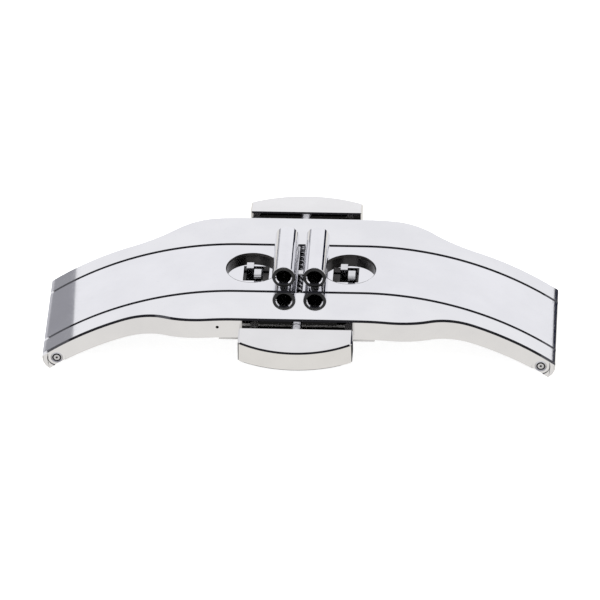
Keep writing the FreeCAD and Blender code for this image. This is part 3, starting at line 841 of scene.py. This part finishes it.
def makeSpring():
    sizes = springSizes
    wire = sizes["wire"] / 2
    radius = (springHigh.z - springLow.z) / 2 - wire
    length = springHigh.y - springLow.y - 2 * wire
    total = round(sizes["turns"] * sizes["steps"])
    bm = bmesh.new()
    ring = bmesh.ops.create_circle(bm, cap_ends=False, segments=sizes["sides"], radius=wire)
    bmesh.ops.translate(bm, vec=(radius, springLow.y + wire, stemZ), verts=ring["verts"])
    bmesh.ops.spin(bm, geom=bm.verts[:] + bm.edges[:], cent=(0, springLow.y + wire, stemZ), axis=(0, -1, 0),
                   dvec=(0, length / total, 0), angle=2 * math.pi * sizes["turns"], steps=total)
    bmesh.ops.holes_fill(bm, edges=[edge for edge in bm.edges if edge.is_boundary])
    bmesh.ops.recalc_face_normals(bm, faces=bm.faces)
    return bm


bothWays(("frontSpring", "rearSpring"), makeSpring(), finish["springSteel"], "spring_steel",
         ("frame", "frame"), ("front_spring", "rear_spring"))
for side, seat in (("front", springHigh.y), ("rear", -springHigh.y)):
    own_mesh(bpy.data.objects[side + "Spring"])

stopSizes = {"pegRadius": 0.3, "postLow": 1.1, "overlap": 0.1, "edge": 0.06}


def makeStop():
    sizes = stopSizes
    postLow = crown - sizes["postLow"]
    post = block((stopLow.x, stopLow.y, postLow), stopHigh)
    soften(post, sizes["edge"], 3, lambda co: True)
    peg = rod(sizes["pegRadius"], "z", (0, 0, 0), (stopLow.z, postLow + sizes["overlap"]), steps=32)
    return combine(post, [peg], "UNION")


makePiece("springStop", makeStop(), finish["latchSteel"], "latch_steel", "frame", "spring_stop")
print("springs and stop done")


# Cover plate under the block, with its screws

coverSizes = {"screwX": 5.55, "screwY": 5.9, "edge": 0.07}
screwSizes = {
    "radius": 0.35,
    "length": 1.2,
    "headRadius": 0.62,
    "headThick": 0.18,
    "headRound": (0.06, 0.02),   # edge of the head, and the point half way round it
    "slotWidth": 0.16,
    "slotDepth": 0.1,
    "firstTurn": 0.6,            # of the slots, in radians
    "nextTurn": 0.9,
}
screwPlaces = [(x, y) for x in (-coverSizes["screwX"], coverSizes["screwX"])
               for y in (-coverSizes["screwY"], coverSizes["screwY"])]
headTop = coverLow.z + screwSizes["headThick"]


def makeCover():
    plate = block(coverLow, coverHigh)
    soften(plate, coverSizes["edge"], 3, lambda co: co.z < coverLow.z + touching)
    low, high = coverLow.z - past, coverHigh.z + past
    bores = []
    for x, y in screwPlaces:
        bores.append(rod(screwSizes["radius"], "z", (x, y, 0), (low, high), steps=40))
        bores.append(rod(screwSizes["headRadius"], "z", (x, y, 0), (low, headTop), steps=48))
    return combine(plate, bores)


def makeScrew(x, y, turn):
    sizes, low = screwSizes, coverLow.z
    radius, head, high = sizes["radius"], sizes["headRadius"], underside + sizes["length"]
    wide, narrow = sizes["headRound"]
    profile = [(0, low), (head - wide, low), (head - narrow, low + narrow), (head, low + wide),
               (head, headTop), (radius, headTop), (radius, high), (0, high)]
    slotHalf = sizes["slotWidth"] / 2
    slot = block((-past, -slotHalf, low - past), (past, slotHalf, low + sizes["slotDepth"]))
    bmesh.ops.rotate(slot, matrix=Matrix.Rotation(turn, 3, "Z"), verts=slot.verts)
    bmesh.ops.translate(slot, vec=(x, y, 0), verts=slot.verts)
    return combine(lathe(profile, "z", (x, y, 0), steps=48), [slot])


def makeScrews():
    screws = bmesh.new()
    for number, (x, y) in enumerate(screwPlaces):
        screw = makeScrew(x, y, screwSizes["firstTurn"] + screwSizes["nextTurn"] * number)
        mesh = bpy.data.meshes.new("screw")
        screw.to_mesh(mesh)
        screw.free()
        screws.from_mesh(mesh)
        bpy.data.meshes.remove(mesh)
    return screws


makePiece("latchCover", makeCover(), finish["coverSteel"], "latch_steel", "frame", "latch_cover")
makePiece("coverScrews", makeScrews(), finish["screwSteel"], "pin_steel", "frame", "cover_screws")
print("cover and screws done")


# Studio: white floor, plain bright world, soft lamp
# The darker parts of the sky and the floor show in reflections only.

studio = {
    "floorHalf": 1.5,
    "floorGap": 0.00001,        # under the lowest point, in metres
    "floorWhite": 0.86,         # share of the floor's white that shadows can't take
    "floorColour": 0.9,
    "floorGlossy": (0.86, 0.84, 0.81),
    # shaded parts of the floor: middle and half sizes, in mm
    "shaded": (((0.0, 0.9), (20.5, 6.2)), ((-0.5, 0.0), (4.7, 17.2))),
    "shadedLevel": 0.02,
    "shadedEdge": 0.95,         # where the shade starts to fade, as a share of the half size
    "worldLevel": 0.5,
    "skySpan": (0.5, 1.0),      # heights as sines, between these two tones
    "skyTones": ((0.97, 0.97, 1.0), (0.85, 0.85, 0.88)),
    # darker patches of the sky: colour, turns from the rear in radians, heights as sines;
    # the clasp's ends mirror the first four, and its bevels those from the sixth on
    "skyPatches": (
        ((0.34, 0.34, 0.37), (-0.9, -0.5415), (0.11, 0.25)),
        ((0.62, 0.62, 0.66), (-0.9, -0.5415), (-0.1, 0.11)),
        ((0.012, 0.014, 0.03), (0.2, 0.9), (-0.1, 0.2)),
        ((0.03, 0.03, 0.035), (-0.9, -0.5415), (-0.1, 0.05)),
        ((0.3, 0.3, 0.32), (-1.3, 1.3), (0.8, 0.93)),
        ((0.1, 0.1, 0.11), (1.6, 2.6), (0.47, 0.94)),
        ((0.1, 0.1, 0.11), (-2.6, -1.6), (0.47, 0.94)),
        ((0.02, 0.02, 0.024), (1.7, 2.6), (0.55, 0.94)),
        ((0.02, 0.02, 0.024), (-2.6, -1.7), (0.55, 0.94)),
        ((0.02, 0.02, 0.024), (2.6, 3.2), (0.71, 0.94)),
        ((0.02, 0.02, 0.024), (-3.2, -2.6), (0.71, 0.94)),
    ),
    "lampPower": 3.4,
    "lampSize": 0.5,
    "lampPlace": (-0.12, -0.1, 0.8),
}


def byRay(tree, plain, forCamera, forGlossy, forTransmission, outputKind):
    # the plain shader lights the object, the others are what each kind of ray sees instead
    path = addNode(tree, "ShaderNodeLightPath")
    shader = plain
    for ray, seen in (("Camera", forCamera), ("Glossy", forGlossy), ("Transmission", forTransmission)):
        shader = addNode(tree, "ShaderNodeMixShader",
                         {0: path.outputs["Is " + ray + " Ray"], 1: shader.outputs[0], 2: seen.outputs[0]})
    out = addNode(tree, outputKind)
    tree.links.new(shader.outputs[0], out.inputs["Surface"])


def mirroredLevel(tree):
    # brightness of the floor in reflections: low inside each shaded part, full outside them
    place = addNode(tree, "ShaderNodeTexCoord").outputs["Object"]
    levels = []
    for middle, half in studio["shaded"]:
        scaled = addNode(tree, "ShaderNodeVectorMath",
                         {0: place, 1: (1 / half[0] / mm, 1 / half[1] / mm, 0),
                          2: (-middle[0] / half[0], -middle[1] / half[1], 0)}, operation="MULTIPLY_ADD")
        size = addNode(tree, "ShaderNodeVectorMath", {0: scaled.outputs["Vector"]}, operation="ABSOLUTE")
        parts = addNode(tree, "ShaderNodeSeparateXYZ", {0: size.outputs["Vector"]})
        away = addNode(tree, "ShaderNodeMath", {0: parts.outputs["X"], 1: parts.outputs["Y"]},
                       operation="MAXIMUM")
        level = addNode(tree, "ShaderNodeMapRange", {
            "Value": away.outputs[0], "From Min": studio["shadedEdge"], "From Max": 1.0,
            "To Min": studio["shadedLevel"], "To Max": 1.0})
        levels.append(level.outputs["Result"])
    return addNode(tree, "ShaderNodeMath", {0: levels[0], 1: levels[1]}, operation="MINIMUM").outputs[0]


def floorPaper():
    material = bpy.data.materials.new("floorPaper")
    material.use_nodes = True
    tree = material.node_tree
    tree.nodes.clear()
    tone = studio["floorColour"]
    paper = addNode(tree, "ShaderNodeBsdfDiffuse", {"Color": (tone, tone, tone, 1)})
    glow = addNode(tree, "ShaderNodeEmission", {"Color": (1, 1, 1, 1), "Strength": studio["floorWhite"]})
    seen = addNode(tree, "ShaderNodeAddShader", {0: paper.outputs[0], 1: glow.outputs[0]})
    mirrored = addNode(tree, "ShaderNodeEmission",
                       {"Color": (*studio["floorGlossy"], 1), "Strength": mirroredLevel(tree)})
    byRay(tree, paper, seen, mirrored, mirrored, "ShaderNodeOutputMaterial")
    return material


def makeFloor():
    bm = bmesh.new()
    bmesh.ops.create_grid(bm, x_segments=1, y_segments=1, size=studio["floorHalf"])
    bmesh.ops.translate(bm, vec=(0, 0, railLow.z * mm - studio["floorGap"]), verts=bm.verts)
    mesh = bpy.data.meshes.new("floor")
    bm.to_mesh(mesh)
    bm.free()
    floor = bpy.data.objects.new("floor", mesh)
    bpy.context.collection.objects.link(floor)
    mesh.materials.append(floorPaper())


def between(tree, value, low, high):
    above = addNode(tree, "ShaderNodeMath", {0: value, 1: low}, operation="GREATER_THAN")
    below = addNode(tree, "ShaderNodeMath", {0: value, 1: high}, operation="LESS_THAN")
    both = addNode(tree, "ShaderNodeMath", {0: above.outputs[0], 1: below.outputs[0]}, operation="MULTIPLY")
    return both.outputs[0]


def skyColour(tree):
    direction = addNode(tree, "ShaderNodeTexCoord").outputs["Generated"]
    parts = addNode(tree, "ShaderNodeSeparateXYZ", {0: direction})
    height = parts.outputs["Z"]
    turn = addNode(tree, "ShaderNodeMath", {0: parts.outputs["X"], 1: parts.outputs["Y"]},
                   operation="ARCTAN2").outputs["Value"]
    sky = ramp(tree, height, studio["skySpan"], studio["skyTones"])
    for colour, turns, heights in studio["skyPatches"]:
        mask = addNode(tree, "ShaderNodeMath",
                       {0: between(tree, turn, *turns), 1: between(tree, height, *heights)},
                       operation="MULTIPLY")
        # a colour Mix node has its factor at socket 0, its colours at 6 and 7, its result at 2
        patch = addNode(tree, "ShaderNodeMix", {0: mask.outputs[0]}, data_type="RGBA")
        tree.links.new(sky, patch.inputs[6])
        patch.inputs[7].default_value = (*colour, 1)
        sky = patch.outputs[2]
    return sky


def makeWorld():
    world = bpy.data.worlds.new("studio")
    bpy.context.scene.world = world
    world.use_nodes = True
    tree = world.node_tree
    tree.nodes.clear()
    plain = addNode(tree, "ShaderNodeBackground", {"Color": (1, 1, 1, 1), "Strength": studio["worldLevel"]})
    white = addNode(tree, "ShaderNodeBackground", {"Color": (1, 1, 1, 1), "Strength": 1.0})
    mirrored = addNode(tree, "ShaderNodeBackground", {"Color": skyColour(tree), "Strength": 1.0})
    byRay(tree, plain, white, mirrored, white, "ShaderNodeOutputWorld")


def makeLamp():
    lamp = bpy.data.lights.new("softbox", "AREA")
    lamp.energy = studio["lampPower"]
    lamp.size = studio["lampSize"]
    holder = bpy.data.objects.new("softbox", lamp)
    holder.location = studio["lampPlace"]
    holder.rotation_euler = Vector(studio["lampPlace"]).to_track_quat("Z", "Y").to_euler()
    holder.visible_glossy = False
    bpy.context.collection.objects.link(holder)


makeFloor()
makeWorld()
makeLamp()
print("studio done")


# Camera at the photograph's angle, with a long lens

cameraSizes = {
    "azimuth": 3.16,
    "elevation": 32.69,
    "roll": 0.685,          # degrees, anticlockwise in the picture
    "distance": 0.7,
    "clip": (0.05, 10.0),
    "sensor": 36.0,
    "pixelsPerMm": 12.302,  # at the middle of the crown
    "crownPixel": (301.08, 268.56),
    "framePixels": 600,
}


def makeCamera():
    sizes = cameraSizes
    turn, rise, roll = (math.radians(sizes[key]) for key in ("azimuth", "elevation", "roll"))
    back = Vector((math.sin(turn) * math.cos(rise), -math.cos(turn) * math.cos(rise), math.sin(rise)))
    rotation = back.to_track_quat("Z", "Y").to_matrix() @ Matrix.Rotation(-roll, 3, "Z")
    right, up = rotation.col[0], rotation.col[1]
    middle, scale = sizes["framePixels"] / 2, sizes["pixelsPerMm"]
    offset = (sizes["crownPixel"][0] - middle, middle - sizes["crownPixel"][1])
    aim = Vector((0, 0, crown)) - right * offset[0] / scale - up * offset[1] / scale
    data = bpy.data.cameras.new("camera")
    data.sensor_width = sizes["sensor"]
    across = sizes["framePixels"] / scale * mm
    data.lens = sizes["sensor"] * sizes["distance"] / across
    data.clip_start, data.clip_end = sizes["clip"]
    camera = bpy.data.objects.new("camera", data)
    camera.matrix_world = Matrix.Translation(aim * mm + back * sizes["distance"]) @ rotation.to_4x4()
    bpy.context.collection.objects.link(camera)
    bpy.context.scene.camera = camera


makeCamera()
bpy.context.scene.view_settings.view_transform = "Standard"
bpy.context.view_layer.update()
